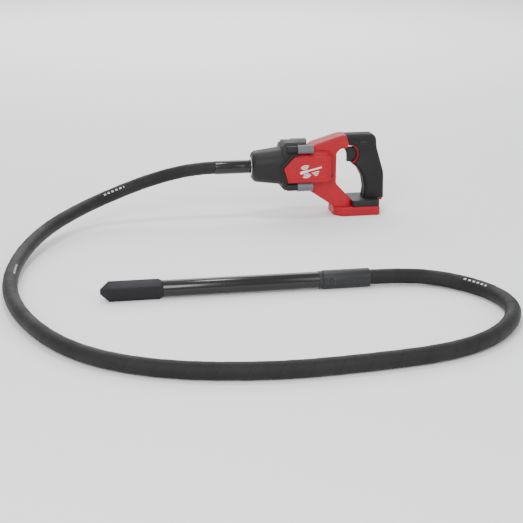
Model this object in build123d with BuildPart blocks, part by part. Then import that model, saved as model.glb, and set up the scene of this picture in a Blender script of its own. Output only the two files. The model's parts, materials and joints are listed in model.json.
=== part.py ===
from build123d import *
import math
import os

# Battery concrete vibrator: D-handle motor body, flexible shaft and poker head.
# Millimetres. The nose points to -X and +Z is up. The origin is the middle of the
# underside of the battery foot, which stands on the ground plane.

# ---------------------------------------------------------------- driving dimensions
AXIS_Z = 103.0              # height of the motor and nose axis
FIT = 0.03                  # radial clearance of a shaft in its bearing
GAP = 0.4                   # clearance round a part that slides
WALL = 3.0                  # wall of the plastic housing

# handle and arms
ARM_HALF = 21.0             # half width of the arms and leg
GRIP_HALF = 18.5            # half width of the covered handle
COVER = 2.4                 # thickness of the handle cover
GRIP_ROUND = 8.0            # rounding of the handle's long edges
GRIP_TOP = 163.5            # top of the handle
OPENING_FRONT = -44.0       # front edge of the hand opening
# corners of the handle's outline, each with the radius that rounds it
HANDLE_CORNERS = [
    ((38, GRIP_TOP), 13), ((41, 135), 30), ((56.5, 83), 40),
    ((17.3, 52), 30), ((13, 74), 30), ((3, 93), 14)]

# screws that hold the halves together: places seen from the side, sizes and reach across the tool
HOUSING_SCREWS = [(-30.0, 155.0), (34.0, 145.0), (44.0, 70.0), (48.0, 38.0), (-31.0, 41.0), (-52.0, 30.0)]
HOUSING_SCREW_R = 1.5
HOUSING_HEAD_R = 3.0
HOUSING_HEAD_TALL = 2.5
SCREW_TIP_Y = 12.0
SCREW_HEAD_Y = 13.4
POST_R = 4.2

# battery foot
FOOT_HALF = 38.0            # half width of the foot
FOOT_FRONT = -50.0
FOOT_BACK = 45.0
FOOT_TOP = 18.0
BUMPER_TOP = 31.0           # top of the dark strip, where the handle lands
BUMPER_FRONT = -13.0
SLOT_HALF = 32.0            # battery slot, half width
SLOT_DEPTH = 12.0
RAIL = 4.0                  # rail lip, both its reach and its height
BLOCK_HALF = 11.0           # terminal block, half width
BLOCK_LENGTH = 36.0

# motor barrel
BARREL_FRONT = -128.0
BARREL_BACK = -66.0
BARREL_HALF = 36.0
BARREL_TALL = 33.0
PANEL_OUT = 41.0            # outer face of the raised side panels
PLATE_CENTRE = (-98.0, AXIS_Z - 3)
PLATE_LONG = 62.0           # nameplate in the side panel
PLATE_TALL = 38.0
PLATE_DEEP = 1.0            # depth of its pocket
PLATE_THICK = 0.7
CAVITY_R = 31.0
STATOR_R = 28.5
STATOR_BORE = 16.8
STATOR_LENGTH = 28.0
STATOR_FRONT = -112.0
STATOR_TEETH = 12
AIR_GAP = 0.6
MOTOR_SHAFT_R = 4.0
SMALL_BEARING_R = 11.0      # 608 bearing, 22 x 8 x 7
SMALL_BEARING_WIDE = 7.0
REAR_BEARING_X = -69.0
FRONT_BEARING_X = -147.0
CAVITY_BACK = -74.0         # back wall of the motor cavity
FAN_R = 27.5
FAN_BLADES = 15
LEAD_X = -78.0              # where the motor leads drop into the leg
LEAD_SPREAD = 5.0
WIRE_R = 1.1

# nose
FLANGE_FRONT = -157.0
FLANGE_TALL = 48.5          # half height of the flange
FLANGE_HALF = 38.0
FLANGE_CHAMFER = 20.0
FLANGE_SLOPE = 7.0          # slope on the front of its top and bottom
NOSE_BACK_HALF = 36.5
NOSE_BACK_ROUND = 28.0
NOSE_FRONT_HALF = 29.5
NOSE_FRONT_ROUND = 25.0
RING_WIDE = 5.0             # bright ring round the sleeve
RING_THICK = 1.6
NOSE_FACE = -216.0
NOSE_SHOULDER = 11.0
SCREW_Y = 35.0              # places of the four long screws
SCREW_Z = 38.3
BOSS_R = 7.2
BOSS_FRONT = -149.0
HEAD_HOLE_R = 4.6           # counterbore for a screw head
HEAD_HOLE_DEEP = 7.0
SCREW_HEAD_R = 4.2
SLEEVE_R = 8.7              # grey clamp sleeves
SLEEVE_BACK = -97.0
LONG_SCREW_R = 2.5
SPINDLE_R = 6.0             # output spindle, 12 mm
NOSE_BEARING_R = 16.0       # 6201 bearing, 32 x 12 x 10
NOSE_BEARING_WIDE = 10.0
NOSE_BEARING_X = -198.0
SEAL_R = 14.0
SQUARE = 7.0                # square drive of the flexible core

# flexible shaft
ADAPTER_R = 13.5
ADAPTER_BORE = 9.0
FLATS_FRONT = -231.0        # wrench flats on the sleeve
FLATS_LONG = 11.0
FLATS_DEEP = 1.6
GROOVE_DEEP = 1.2
GROOVE_WIDE = 2.0
HOSE_START = -290.0
HOSE_D = 25.4
HOSE_BORE = 15.2
CORE_D = 9.0
FITTING_R = 6.0
BARB_LENGTH = 14.0
BARB_BORE = 5.6
BARB_LIP = 4.0              # wall that joins a barb to its sleeve
END_GAP = 0.5               # gap between the core and its hard ends

# poker head, lying along -X
HEAD_Y = -472.0
HEAD_Z = 15.5
HOSE_END = -95.0
COUPLER_R = 15.5
COUPLER_LENGTH = 80.0
COLLAR_R = 14.5
COLLAR_LENGTH = 7.0
TUBE_R = 13.75
TUBE_BORE = 9.55
TUBE_END = -440.0
TIP_FLATS = 25.3            # across flats of the square tip
TIP_END = -527.0
TIP_POINT = 14.0            # length of the blunt pyramid
TIP_ROLL = 15.0             # how far the square is rolled about its axis
TIP_BORE = 9.5
NECK_LENGTH = 6.0
SHAFT_R = 5.0               # extension shaft, 10 mm
WEIGHT_R = 8.4
HEAD_BEARING_WIDE = 6.0

# controls
TRIGGER_HALF = 8.0
TRIGGER_BOTTOM = 107.0
TRIGGER_TOP = 135.0
TRIGGER_FRONT = -22.0
TRIGGER_BACK = 6.0
BUTTON_X = 10.0
BUTTON_Z = 148.5
BUTTON_LONG = 15.0
BUTTON_TALL = 7.0
BUTTON_PROUD = 1.2          # how far the button stands out of the cover
BUTTON_DEEP = 8.0
BRACKET_HALF = 3.0          # half thickness of the switch bracket
SWITCH_FRONT = 15.0


def save(part, label):
    part.label = label
    export_step(part, "parts/" + label + ".step")


def turned(solids, bores=(), y=0.0, z=AXIS_Z):
    """A turned piece along X: cylinders (from, to, radius) less bores of the same form."""
    with BuildPart() as piece:
        for start, end, radius in solids:
            with BuildSketch(Plane.YZ.offset(start)):
                with Locations((y, z)):
                    Circle(radius)
            extrude(amount=end - start)
        for start, end, radius in bores:
            with BuildSketch(Plane.YZ.offset(start)):
                with Locations((y, z)):
                    Circle(radius)
            extrude(amount=end - start, mode=Mode.SUBTRACT)
    return piece.part


def bearing(start, wide, outer, inner, y=0.0, z=AXIS_Z, balls=8):
    """A ball bearing: outer race, inner race and a ring of balls, as separate solids."""
    race = (outer - inner) * 0.3
    middle = (outer + inner) / 2
    ball = (outer - inner) / 2 - race
    with BuildPart() as piece:
        with BuildSketch(Plane.YZ.offset(start)):
            with Locations((y, z)):
                Circle(outer)
                Circle(outer - race, mode=Mode.SUBTRACT)
                Circle(inner + race)
                Circle(inner + FIT, mode=Mode.SUBTRACT)
        extrude(amount=wide)
        with Locations(Plane.YZ.offset(start + wide / 2)):
            with Locations((y, z)):
                with PolarLocations(middle, balls):
                    Sphere(ball - FIT)
    return piece.part


def half_of(part, side):
    """The left half lies at -Y and the right half at +Y."""
    toward = 1 if side == "left" else -1
    with BuildPart() as half:
        add(part)
        with BuildSketch(Plane.XZ):
            with Locations((-50, 90)):
                Rectangle(400, 300)
        extrude(amount=toward * 100, mode=Mode.INTERSECT)
    return half.part


def tube_along(points, radii, outer, inner=0.0):
    """A round tube swept along straight runs joined by tangent arcs."""
    with BuildPart() as piece:
        with BuildLine() as route:
            FilletPolyline(*points, radius=radii)
        start = Plane(origin=route.line @ 0, z_dir=route.line % 0)
        with BuildSketch(start):
            Circle(outer)
            if inner:
                Circle(inner, mode=Mode.SUBTRACT)
        sweep()
    return piece.part, sum(edge.length for edge in route.edges())


def corner_radii(points):
    """The largest arc that each corner of a route leaves room for."""
    radii = []
    for before, corner, after in zip(points, points[1:], points[2:]):
        arriving = Vector(*corner) - Vector(*before)
        leaving = Vector(*after) - Vector(*corner)
        turn = math.radians(arriving.get_angle(leaving))
        shorter = min(arriving.length, leaving.length)
        radii.append(0.45 * shorter / math.tan(turn / 2))
    return radii


os.makedirs("parts", exist_ok=True)

# ---------------------------------------------------------------- housing
# The handle seen from the side: the outline of its cover.
with BuildSketch(Plane.XZ) as grip_outline:
    with BuildLine():
        Polyline((-25, GRIP_TOP), (38, GRIP_TOP), (41, 135), (56.5, 83), (57.5, BUMPER_TOP),
                 (14.7, BUMPER_TOP), (17.3, 52), (13, 74), (3, 93), (-10, 103))
        ThreePointArc((-10, 103), (4, 123), (-15, 143.5))
        Polyline((-15, 143.5), (-19.4, 145.3), (-25, GRIP_TOP))
    make_face()
    for corner, radius in HANDLE_CORNERS:
        fillet(grip_outline.vertices().sort_by_distance((*corner, 0))[0], radius=radius)

with BuildPart() as grip_body:
    extrude(grip_outline.sketch, amount=GRIP_HALF, both=True)
    rims = grip_body.faces().filter_by(Axis.Y).edges()
    standing = rims.filter_by(lambda rim: rim.center().Z > BUMPER_TOP + 1)
    back_rims = standing.filter_by(lambda rim: rim.center().X > 17)
    top_rims = standing.filter_by(lambda rim: rim.center().Z > GRIP_TOP - 1)
    front_rims = standing.filter_by(lambda rim: -9 < rim.center().X < 17.5 and rim.center().Z < 102)
    fillet(set(back_rims + top_rims + front_rims), radius=GRIP_ROUND)

# The plastic inside the handle cover.
with BuildSketch(Plane.XZ) as core_outline:
    add(grip_outline.sketch_local)
    offset(amount=-COVER, mode=Mode.REPLACE)

# The red arms and the leg, seen from the side.
with BuildSketch(Plane.XZ) as arm_outline:
    with BuildLine():
        Polyline(
            (-102, 54), (-102, 136), (-89, 147.6), (-36, GRIP_TOP), (-25, GRIP_TOP), (-19.4, 145.3),
            (-24, 136), (OPENING_FRONT + 9, 136), (OPENING_FRONT, 127), (OPENING_FRONT, 65),
            (-13, BUMPER_TOP), (-13, 10), (-46, 10), (-47, 17), close=True)
    make_face()
    arm_corners = arm_outline.vertices().filter_by_position(Axis.X, OPENING_FRONT - 1, OPENING_FRONT + 10)
    fillet(arm_corners, radius=8)

with BuildPart() as arms:
    extrude(arm_outline.sketch, amount=ARM_HALF, both=True)
    arm_rims = arms.faces().filter_by(Axis.Y).edges()
    fillet(arm_rims.filter_by(lambda e: e.length > 25), radius=4)

# The foot: a plan outline cut to its side view.
with BuildPart() as foot:
    with BuildSketch(Plane.XY):
        with BuildLine():
            Polyline(
                (FOOT_FRONT, -22), (FOOT_FRONT + 16, -FOOT_HALF), (FOOT_BACK, -FOOT_HALF),
                (FOOT_BACK, FOOT_HALF), (FOOT_FRONT + 16, FOOT_HALF), (FOOT_FRONT, 22), close=True)
        make_face()
    extrude(amount=FOOT_TOP)
    fillet(foot.edges().filter_by(Axis.Z), radius=5)
    fillet(foot.faces().sort_by(Axis.Z)[-1].edges(), radius=3)
    chamfer(foot.faces().sort_by(Axis.Z)[0].edges(), length=1.5)

# The barrel with its raised five-sided panels, and its fall towards the arms.
with BuildSketch(Plane.XZ) as panel_outline:
    with BuildLine():
        Polyline((FLANGE_FRONT + 1, AXIS_Z + 1), (-134, AXIS_Z + 24), (-60, AXIS_Z + 24),
                 (-60, AXIS_Z - 29), (-147, AXIS_Z - 29), close=True)
    make_face()
    fillet(panel_outline.vertices().sort_by(Axis.X)[-2:], radius=6)

with BuildPart() as barrel:
    with BuildSketch(Plane.YZ.offset(BARREL_FRONT)):
        with Locations((0, AXIS_Z)):
            RectangleRounded(2 * BARREL_HALF, 2 * BARREL_TALL, 18)
    extrude(amount=BARREL_BACK - BARREL_FRONT)
    with BuildSketch(Plane.YZ.offset(BARREL_BACK)):
        with Locations((0, AXIS_Z)):
            RectangleRounded(2 * BARREL_HALF, 2 * BARREL_TALL, 18)
    with BuildSketch(Plane.YZ.offset(OPENING_FRONT - 4)):
        with Locations((0, AXIS_Z)):
            RectangleRounded(2 * ARM_HALF - 2, 2 * BARREL_TALL - 14, 10)
    loft()

with BuildPart() as panels:
    extrude(panel_outline.sketch, amount=PANEL_OUT, both=True)
    panel_faces = panels.faces().filter_by(Axis.Y)
    fillet(panel_faces.edges(), radius=2)
    with BuildSketch(Plane.XZ):
        with Locations(((FLANGE_FRONT - 60) / 2, AXIS_Z)):
            Rectangle(120, 80)
    extrude(amount=BARREL_HALF - 8, both=True, mode=Mode.SUBTRACT)

# The way in for the trigger, through trim, cover and housing.
with BuildPart() as trigger_way:
    with BuildSketch(Plane.XZ):
        with Locations(((TRIGGER_FRONT + SWITCH_FRONT) / 2, (TRIGGER_TOP + TRIGGER_BOTTOM) / 2)):
            Rectangle(SWITCH_FRONT - TRIGGER_FRONT, TRIGGER_TOP - TRIGGER_BOTTOM + 2 * GAP)
    extrude(amount=TRIGGER_HALF + GAP, both=True)

# The way in for the lock button, through the left side only.
with BuildPart() as button_way:
    with BuildSketch(Plane.XZ.offset(GRIP_HALF + 1)):
        with Locations((BUTTON_X, BUTTON_Z)):
            Rectangle(BUTTON_LONG + 2 * GAP, BUTTON_TALL + 2 * GAP)
    extrude(amount=-(GRIP_HALF - 8))

with BuildPart() as housing_outside:
    add(arms.part)
    add(foot.part)
    add(barrel.part)
    add(panels.part)
    extrude(core_outline.sketch, amount=GRIP_HALF - COVER, both=True)
    # necks that carry the handle core into the arm, the foot and the rear tab
    with BuildSketch(Plane.XZ):
        with BuildLine():
            Polyline((-30, 160), (-14, 160), (-14, 147), (-30, 147), close=True)
        make_face()
        with BuildLine():
            Polyline((18, 12), (18, 36), (54, 36), (54, 27), (FOOT_BACK, 25), (FOOT_BACK - 3, 12),
                     close=True)
        make_face()
    extrude(amount=GRIP_HALF - COVER - 1, both=True)

with BuildPart() as housing_whole:
    add(housing_outside.part)
    # motor cavity, with a web that carries the rear bearing
    with BuildSketch(Plane.YZ.offset(FLANGE_FRONT - 2)):
        with Locations((0, AXIS_Z)):
            Circle(CAVITY_R)
    extrude(amount=CAVITY_BACK - FLANGE_FRONT + 2, mode=Mode.SUBTRACT)
    with BuildSketch(Plane.YZ.offset(CAVITY_BACK - 1)):
        with Locations((0, AXIS_Z)):
            Circle(SMALL_BEARING_R)
    extrude(amount=REAR_BEARING_X + SMALL_BEARING_WIDE - CAVITY_BACK + 1, mode=Mode.SUBTRACT)
    # slot that lets the motor leads down into the leg
    with BuildSketch(Plane.XZ):
        with Locations((LEAD_X, 66)):
            Rectangle(2 * WIRE_R + 2, 20)
    extrude(amount=LEAD_SPREAD + WIRE_R + 1, both=True, mode=Mode.SUBTRACT)
    # hollow of the arms and leg, then of the handle
    with BuildSketch(Plane.XZ):
        with BuildLine():
            Polyline((-50, 150), (-36, 156), (-34, 142), (-50, 136), close=True)
        make_face()
        with BuildLine():
            Polyline((-82, 63), (-50, 62), (-18, 25), (-18, FOOT_TOP + 1), (-42, FOOT_TOP + 1), (-84, 50),
                     close=True)
        make_face()
    extrude(amount=ARM_HALF - WALL, both=True, mode=Mode.SUBTRACT)
    with BuildSketch(Plane.XZ):
        add(core_outline.sketch_local)
        offset(amount=-WALL, mode=Mode.REPLACE)
    extrude(amount=GRIP_HALF - COVER - WALL, both=True, mode=Mode.SUBTRACT)
    add(trigger_way.part, mode=Mode.SUBTRACT)
    add(button_way.part, mode=Mode.SUBTRACT)
    # battery slot, open at the back and below, with a rail lip on each side
    with BuildSketch(Plane.XY):
        with Locations((FOOT_FRONT + 16, 0)):
            Rectangle(FOOT_BACK - FOOT_FRONT, 2 * (SLOT_HALF - RAIL), align=(Align.MIN, Align.CENTER))
    extrude(amount=SLOT_DEPTH, mode=Mode.SUBTRACT)
    with BuildSketch(Plane.XY.offset(RAIL)):
        with Locations((FOOT_FRONT + 16, 0)):
            Rectangle(FOOT_BACK - FOOT_FRONT, 2 * SLOT_HALF, align=(Align.MIN, Align.CENTER))
    extrude(amount=SLOT_DEPTH - RAIL, mode=Mode.SUBTRACT)
    # shallow pockets for the nameplates
    for side in (1, -1):
        with BuildSketch(Plane.XZ.offset(side * PANEL_OUT)):
            with Locations(PLATE_CENTRE):
                RectangleRounded(PLATE_LONG, PLATE_TALL, 3)
        extrude(amount=-side * PLATE_DEEP, mode=Mode.SUBTRACT)

# posts and ways for the screws, which are put in from the right side
with BuildPart() as screw_posts:
    with BuildSketch(Plane.XZ):
        with Locations(*HOUSING_SCREWS):
            Circle(POST_R)
    extrude(amount=GRIP_HALF - COVER - 1, both=True)
    add(housing_outside.part, mode=Mode.INTERSECT)
with BuildPart() as screws:
    with BuildSketch(Plane.XZ.offset(SCREW_TIP_Y)):
        with Locations(*HOUSING_SCREWS):
            Circle(HOUSING_SCREW_R)
    extrude(amount=-SCREW_TIP_Y - SCREW_HEAD_Y)
    with BuildSketch(Plane.XZ.offset(-SCREW_HEAD_Y)):
        with Locations(*HOUSING_SCREWS):
            Circle(HOUSING_HEAD_R)
    extrude(amount=-HOUSING_HEAD_TALL)
with BuildPart() as screw_ways:
    with BuildSketch(Plane.XZ.offset(SCREW_TIP_Y)):
        with Locations(*HOUSING_SCREWS):
            Circle(HOUSING_SCREW_R)
    extrude(amount=-SCREW_TIP_Y - SCREW_HEAD_Y)
    with BuildSketch(Plane.XZ.offset(-SCREW_HEAD_Y)):
        with Locations(*HOUSING_SCREWS):
            Circle(HOUSING_HEAD_R)
    extrude(amount=SCREW_HEAD_Y - ARM_HALF - 1)

with BuildPart() as housing_ready:
    add(housing_whole.part)
    add(screw_posts.part)
    add(screw_ways.part, mode=Mode.SUBTRACT)

housing_left = half_of(housing_ready.part, "left")
housing_right = half_of(housing_ready.part, "right")
save(housing_left, "housing_left")
save(housing_right, "housing_right")
save(screws.part, "housing_screws")

# ---------------------------------------------------------------- handle cover, trim and bumper
with BuildPart() as trim:
    with BuildSketch(Plane.XZ):
        with BuildLine():
            outer_arc = ThreePointArc((-10, 103), (4, 123), (-15, 143.5))
            Line(outer_arc @ 1, (-16.8, 140.8))
            inner_arc = ThreePointArc((-16.8, 140.8), (1.0, 122.7), (-11.2, 105.6))
            Line(inner_arc @ 1, outer_arc @ 0)
        make_face()
    extrude(amount=GRIP_HALF - 5, both=True)
    add(trigger_way.part, mode=Mode.SUBTRACT)
    add(housing_ready.part, mode=Mode.SUBTRACT)
save(trim.part, "trigger_trim")

with BuildPart() as cover:
    add(grip_body.part)
    add(housing_outside.part, mode=Mode.SUBTRACT)
    add(trigger_way.part, mode=Mode.SUBTRACT)
    add(button_way.part, mode=Mode.SUBTRACT)
save(half_of(cover.part, "left"), "grip_left")
save(half_of(cover.part, "right"), "grip_right")

with BuildPart() as bumper:
    with BuildSketch(Plane.XY.offset(FOOT_TOP)):
        with Locations(((FOOT_BACK + BUMPER_FRONT) / 2, 0)):
            RectangleRounded(FOOT_BACK - BUMPER_FRONT - 1, 2 * FOOT_HALF - 4, 6)
    extrude(amount=BUMPER_TOP - FOOT_TOP)
    fillet(bumper.faces().sort_by(Axis.Z)[-1].edges(), radius=3)
    add(housing_outside.part, mode=Mode.SUBTRACT)
save(bumper.part, "foot_bumper")

for side, name in ((1, "nameplate_left"), (-1, "nameplate_right")):
    with BuildPart() as plate:
        with BuildSketch(Plane.XZ.offset(side * (PANEL_OUT - PLATE_DEEP))):
            with Locations(PLATE_CENTRE):
                RectangleRounded(PLATE_LONG - GAP, PLATE_TALL - GAP, 2.8)
        extrude(amount=side * PLATE_THICK)
    save(plate.part, name)

# ---------------------------------------------------------------- nose
with BuildPart() as nose:
    with BuildSketch(Plane.YZ.offset(FLANGE_FRONT)):
        with Locations((0, AXIS_Z)):
            RectangleRounded(2 * NOSE_BACK_HALF, 2 * NOSE_BACK_HALF, NOSE_BACK_ROUND)
    with BuildSketch(Plane.YZ.offset(NOSE_FACE)):
        with Locations((0, AXIS_Z)):
            RectangleRounded(2 * NOSE_FRONT_HALF, 2 * NOSE_FRONT_HALF, NOSE_FRONT_ROUND)
    loft()
    fillet(nose.faces().sort_by(Axis.X)[0].edges(), radius=NOSE_SHOULDER)
    with BuildSketch(Plane.YZ.offset(FLANGE_FRONT)):
        with Locations((0, AXIS_Z)):
            flange_face = Rectangle(2 * FLANGE_HALF, 2 * FLANGE_TALL)
        chamfer(flange_face.vertices(), length=FLANGE_CHAMFER)
    extrude(amount=BARREL_FRONT - FLANGE_FRONT)
    chamfer(nose.faces().sort_by(Axis.X)[-1].edges().filter_by(Axis.Y), length=3)
    lips = nose.edges().filter_by(Axis.Y).filter_by_position(Axis.X, FLANGE_FRONT - 0.1, FLANGE_FRONT + 0.1)
    chamfer(lips.filter_by(lambda lip: abs(lip.center().Z - AXIS_Z) > FLANGE_TALL - 1), length=FLANGE_SLOPE)
    with BuildSketch(Plane.YZ.offset(BOSS_FRONT)):
        with Locations((0, AXIS_Z)):
            with GridLocations(2 * SCREW_Y, 2 * SCREW_Z, 2, 2):
                Circle(BOSS_R)
    extrude(amount=BARREL_FRONT - BOSS_FRONT)
    # cuts: panel tips, fan chamber, bearing seats, seal seat, sleeve socket, screw holes
    add(panels.part, mode=Mode.SUBTRACT)
    for start, end, radius in (
            (FRONT_BEARING_X - 1, BARREL_FRONT, CAVITY_R),
            (NOSE_BEARING_X + NOSE_BEARING_WIDE, FRONT_BEARING_X, SPINDLE_R + 12),
            (NOSE_BEARING_X, NOSE_BEARING_X + NOSE_BEARING_WIDE, NOSE_BEARING_R),
            (NOSE_BEARING_X - 6, NOSE_BEARING_X, SEAL_R),
            (NOSE_FACE, NOSE_BEARING_X - 6, ADAPTER_R)):
        with BuildSketch(Plane.YZ.offset(start)):
            with Locations((0, AXIS_Z)):
                Circle(radius)
        extrude(amount=end - start, mode=Mode.SUBTRACT)
    with BuildSketch(Plane.YZ.offset(FLANGE_FRONT)):
        with Locations((0, AXIS_Z)):
            with GridLocations(2 * SCREW_Y, 2 * SCREW_Z, 2, 2):
                Circle(LONG_SCREW_R)
    extrude(amount=BARREL_FRONT - FLANGE_FRONT, mode=Mode.SUBTRACT)
    with BuildSketch(Plane.YZ.offset(FLANGE_FRONT)):
        with Locations((0, AXIS_Z)):
            with GridLocations(2 * SCREW_Y, 2 * SCREW_Z, 2, 2):
                Circle(HEAD_HOLE_R)
    extrude(amount=BOSS_FRONT - FLANGE_FRONT + HEAD_HOLE_DEEP, mode=Mode.SUBTRACT)
save(nose.part, "nose_housing")

nose_ring = turned([(NOSE_FACE - RING_THICK, NOSE_FACE, ADAPTER_R + RING_WIDE)],
                   [(NOSE_FACE - RING_THICK, NOSE_FACE, ADAPTER_R)])
save(nose_ring, "nose_ring")

with BuildPart() as clamp_sleeves:
    with BuildSketch(Plane.YZ.offset(BARREL_FRONT)):
        with Locations((0, AXIS_Z)):
            with GridLocations(2 * SCREW_Y, 2 * SCREW_Z, 2, 2):
                Circle(SLEEVE_R)
    extrude(amount=SLEEVE_BACK - BARREL_FRONT)
    add(housing_outside.part, mode=Mode.SUBTRACT)
    with BuildSketch(Plane.YZ.offset(BARREL_FRONT)):
        with Locations((0, AXIS_Z)):
            with GridLocations(2 * SCREW_Y, 2 * SCREW_Z, 2, 2):
                Circle(LONG_SCREW_R)
    extrude(amount=SLEEVE_BACK - BARREL_FRONT - 4, mode=Mode.SUBTRACT)
save(clamp_sleeves.part, "clamp_sleeves")

with BuildPart() as nose_screws:
    for start, end, radius in (
            (BOSS_FRONT + 2, BOSS_FRONT + HEAD_HOLE_DEEP, SCREW_HEAD_R),
            (BOSS_FRONT + HEAD_HOLE_DEEP, SLEEVE_BACK - 5, LONG_SCREW_R)):
        with BuildSketch(Plane.YZ.offset(start)):
            with Locations((0, AXIS_Z)):
                with GridLocations(2 * SCREW_Y, 2 * SCREW_Z, 2, 2):
                    Circle(radius)
        extrude(amount=end - start)
    with BuildSketch(Plane.YZ.offset(BOSS_FRONT + 2)):
        with Locations((0, AXIS_Z)):
            with GridLocations(2 * SCREW_Y, 2 * SCREW_Z, 2, 2):
                RegularPolygon(2.2, 6)
    extrude(amount=3, mode=Mode.SUBTRACT)
save(nose_screws.part, "nose_screws")

# ---------------------------------------------------------------- motor
STATOR_BACK = STATOR_FRONT + STATOR_LENGTH
ROTOR_R = STATOR_BORE - AIR_GAP
SHAFT_FRONT = FRONT_BEARING_X - 16

save(bearing(REAR_BEARING_X, SMALL_BEARING_WIDE, SMALL_BEARING_R, MOTOR_SHAFT_R), "rear_motor_bearing")
save(bearing(FRONT_BEARING_X, SMALL_BEARING_WIDE, SMALL_BEARING_R, MOTOR_SHAFT_R), "front_motor_bearing")
save(bearing(NOSE_BEARING_X, NOSE_BEARING_WIDE, NOSE_BEARING_R, SPINDLE_R), "nose_bearing")

bearing_plate = turned(
    [(FRONT_BEARING_X, FRONT_BEARING_X + SMALL_BEARING_WIDE, SMALL_BEARING_R + 3),
     (FRONT_BEARING_X + 2, FRONT_BEARING_X + 4.5, CAVITY_R)],
    [(FRONT_BEARING_X, FRONT_BEARING_X + SMALL_BEARING_WIDE, SMALL_BEARING_R)])
save(bearing_plate, "bearing_plate")

save(turned([(SHAFT_FRONT, REAR_BEARING_X + SMALL_BEARING_WIDE, MOTOR_SHAFT_R)]), "rotor_shaft")
save(turned([(STATOR_FRONT + 0.5, STATOR_BACK - 0.5, ROTOR_R)],
            [(STATOR_FRONT + 0.5, STATOR_BACK - 0.5, MOTOR_SHAFT_R)]), "rotor")

with BuildPart() as stator:
    with BuildSketch(Plane.YZ.offset(STATOR_FRONT)):
        with Locations((0, AXIS_Z)):
            Circle(STATOR_R)
            Circle(STATOR_BORE, mode=Mode.SUBTRACT)
            with PolarLocations((STATOR_R + STATOR_BORE) / 2, STATOR_TEETH):
                Rectangle(7, 3, mode=Mode.SUBTRACT)
    extrude(amount=STATOR_LENGTH)
save(stator.part, "stator_core")

with BuildPart() as windings:
    for start in (STATOR_FRONT - 6, STATOR_BACK):
        with BuildSketch(Plane.YZ.offset(start)):
            with Locations((0, AXIS_Z)):
                Circle(STATOR_R - 2.5)
                Circle(STATOR_BORE + 1.5, mode=Mode.SUBTRACT)
        extrude(amount=6)
    fillet(windings.edges().filter_by(GeomType.CIRCLE), radius=1.5)
save(windings.part, "stator_windings")

# stator feet: the ring that centres the stator in the housing
stator_ring = turned([(STATOR_FRONT + 4, STATOR_BACK - 4, CAVITY_R)],
                     [(STATOR_FRONT + 4, STATOR_BACK - 4, STATOR_R)])
save(stator_ring, "stator_carrier")

save(turned([(STATOR_BACK + 7.5, STATOR_BACK + 9.1, STATOR_R - 4)],
            [(STATOR_BACK + 7.5, STATOR_BACK + 9.1, MOTOR_SHAFT_R + 2)]), "sensor_board")

FAN_FRONT = BARREL_FRONT - 11
with BuildPart() as fan:
    with BuildSketch(Plane.YZ.offset(FAN_FRONT)):
        with Locations((0, AXIS_Z)):
            Circle(FAN_R)
            Circle(MOTOR_SHAFT_R, mode=Mode.SUBTRACT)
    extrude(amount=1.6)
    with BuildSketch(Plane.YZ.offset(FAN_FRONT)):
        with Locations((0, AXIS_Z)):
            Circle(MOTOR_SHAFT_R + 3.5)
            Circle(MOTOR_SHAFT_R, mode=Mode.SUBTRACT)
    extrude(amount=10)
    with BuildSketch(Plane.YZ.offset(FAN_FRONT)):
        with Locations((0, AXIS_Z)):
            with PolarLocations(FAN_R - 7, FAN_BLADES):
                with Locations(Rotation(0, 0, 25)):
                    Rectangle(13, 1.4)
    extrude(amount=8)
save(fan.part, "cooling_fan")

save(turned([(BARREL_FRONT - 1.6, BARREL_FRONT, CAVITY_R)],
            [(BARREL_FRONT - 1.6, BARREL_FRONT, FAN_R - 6)]), "fan_baffle")

# ---------------------------------------------------------------- output spindle and sleeve
SPINDLE_FRONT = NOSE_BEARING_X - 7
SPINDLE_BACK = SHAFT_FRONT + 14
with BuildPart() as spindle:
    with BuildSketch(Plane.YZ.offset(SPINDLE_FRONT)):
        with Locations((0, AXIS_Z)):
            Circle(SPINDLE_R)
    extrude(amount=SPINDLE_BACK - SPINDLE_FRONT)
    with BuildSketch(Plane.YZ.offset(NOSE_BEARING_X + NOSE_BEARING_WIDE + 1)):
        with Locations((0, AXIS_Z)):
            Circle(SPINDLE_R + 2.5)
    extrude(amount=SPINDLE_BACK - NOSE_BEARING_X - NOSE_BEARING_WIDE - 1)
    with BuildSketch(Plane.YZ.offset(SPINDLE_FRONT)):
        with Locations((0, AXIS_Z)):
            Rectangle(SQUARE + 0.1, SQUARE + 0.1)
    extrude(amount=18, mode=Mode.SUBTRACT)
    with BuildSketch(Plane.YZ.offset(SHAFT_FRONT)):
        with Locations((0, AXIS_Z)):
            Circle(MOTOR_SHAFT_R)
    extrude(amount=SPINDLE_BACK - SHAFT_FRONT, mode=Mode.SUBTRACT)
save(spindle.part, "output_spindle")

save(turned([(NOSE_BEARING_X - 6, NOSE_BEARING_X - 0.5, SEAL_R)],
            [(NOSE_BEARING_X - 6, NOSE_BEARING_X - 0.5, SPINDLE_R + 0.05)]), "shaft_seal")

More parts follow.
